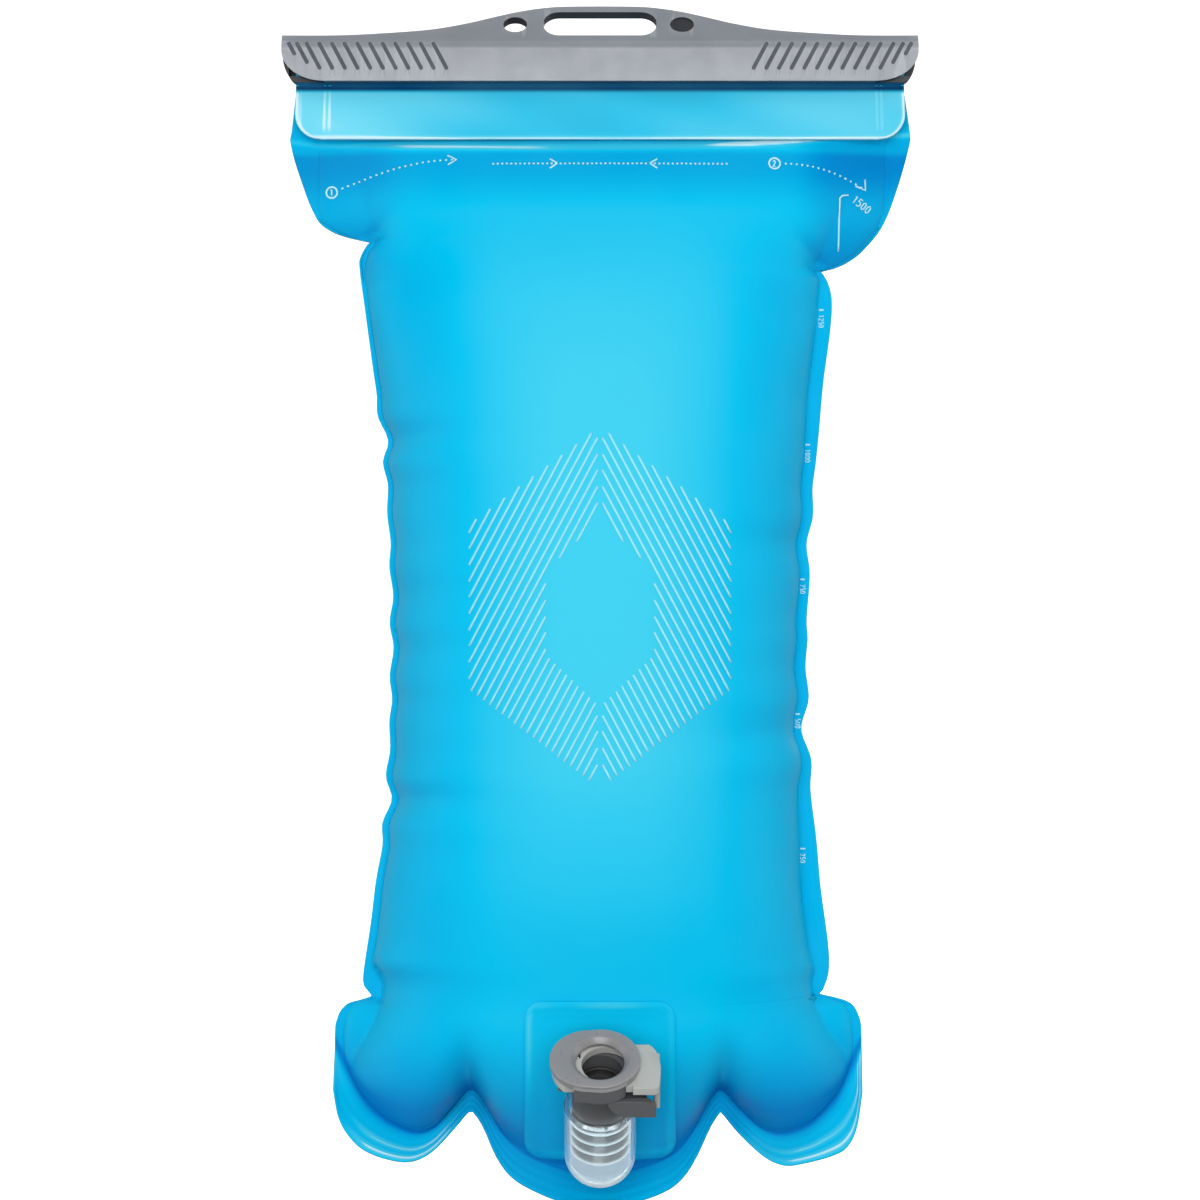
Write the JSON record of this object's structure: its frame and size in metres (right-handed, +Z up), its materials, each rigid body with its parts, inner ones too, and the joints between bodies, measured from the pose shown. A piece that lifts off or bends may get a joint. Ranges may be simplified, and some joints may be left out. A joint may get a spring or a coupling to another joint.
{
  "type": "hydration bladder",
  "caption": "Filled water reservoir of welded soft film with a fold-over mouth, a slide-on closure bar with a hang slot and a quick-release outlet on a short clear neck.",
  "frame": {"origin": "middle of the upper face of the hang slot in the closure bar", "axes": "+Z up along the hanging bag, -Y out of the printed front that carries the outlet, +X to the viewer's right"},
  "size_m": [0.1786, 0.1089, 0.3362],
  "materials": {
    "film_front": "satin translucent film",
    "film_back": "satin translucent film",
    "film_mouth": "satin translucent film",
    "clear_neck": "clear",
    "bar": "satin moulded",
    "rail": "satin moulded",
    "coupling": "satin moulded",
    "button": "satin moulded",
    "valve": "smooth",
    "seal": "matte",
    "spring": "drawn wire"
  },
  "bodies": {
    "bag": {"front_panel": "film_front", "back_panel": "film_back", "fold_rail": "rail", "port_patch": "film_mouth", "port_elbow": "clear_neck", "coupling_cap": "coupling", "coupling_body": "coupling", "barbed_stem": "valve", "valve_guide": "valve", "socket_o_ring": "seal", "valve_spring": "spring", "latch_spring_upper": "spring", "latch_spring_lower": "spring"},
    "slide_bar": {"slide_bar": "bar"},
    "mouth_flap": {"mouth_lip_inner": "film_mouth", "mouth_lip_outer": "film_mouth"},
    "release_button": {"release_button": "button"},
    "valve_poppet": {"valve_poppet": "valve", "poppet_o_ring": "seal"}
  },
  "joints": [
    {"name": "bar_slide", "type": "slide", "parent": "bag", "child": "slide_bar", "axis": [-1, 0, 0], "range_m": [0, 0.185]},
    {"name": "flap_lift", "type": "hinge", "parent": "bag", "child": "mouth_flap", "pos_m": [0, -0.00664, -0.02138], "axis": [-1, 0, 0], "range_deg": [0, 60]},
    {"name": "button_press", "type": "slide", "parent": "bag", "child": "release_button", "axis": [-1, 0, 0], "range_m": [0, 0.0015], "stiffness_N_per_m": 400, "springref_m": -0.002, "deforming": ["latch_spring_upper", "latch_spring_lower"]},
    {"name": "valve_open", "type": "slide", "parent": "bag", "child": "valve_poppet", "axis": [0, 0.632, -0.7749], "range_m": [0, 0.004], "stiffness_N_per_m": 250, "springref_m": -0.003, "deforming": ["valve_spring"]}
  ]
}
